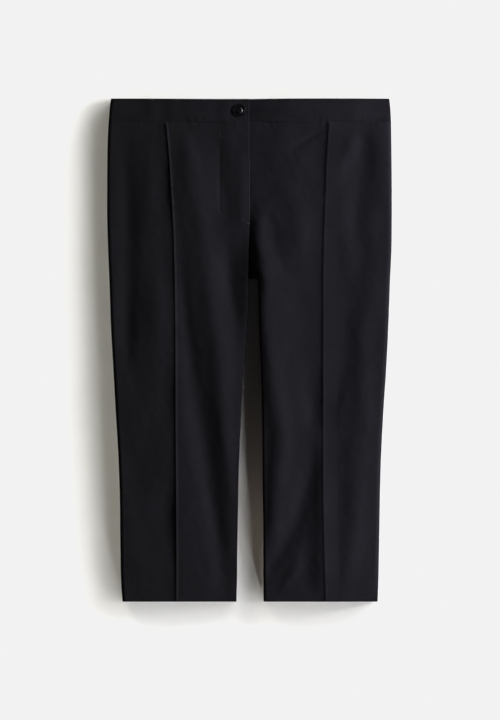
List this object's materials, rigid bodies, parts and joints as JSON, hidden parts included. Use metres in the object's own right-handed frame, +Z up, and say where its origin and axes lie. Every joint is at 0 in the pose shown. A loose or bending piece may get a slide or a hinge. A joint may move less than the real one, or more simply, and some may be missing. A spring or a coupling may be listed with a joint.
{
  "type": "capri pants laid flat",
  "caption": "Dark women's capri pants laid flat, front up, with a plain waistband, a buttoned lapped fly, a sewn crease down each leg and plain hems.",
  "frame": {"origin": "on the surface that the garment lies on, under the middle of its outline", "axes": "+Y from the hems to the waist, +Z up out of the front, +X to the wearer's left, which is the viewer's right"},
  "size_m": [0.4533, 0.8046, 0.0101],
  "materials": {
    "cloth": "matt stretch twill, near black",
    "zip_tape": "woven tape, black",
    "zip_metal": "satin",
    "button": "polished, black",
    "thread": "sewing thread, near black"
  },
  "bodies": {
    "root": {"front_right": "cloth", "front_left": "cloth", "back_right": "cloth", "back_left": "cloth", "waistband_front_right": "cloth", "waistband_front_left": "cloth", "waistband_back": "cloth", "fly_zip": "zip_tape", "zip_slider": "zip_metal", "button": "button", "button_stem": "thread"}
  },
  "joints": []
}
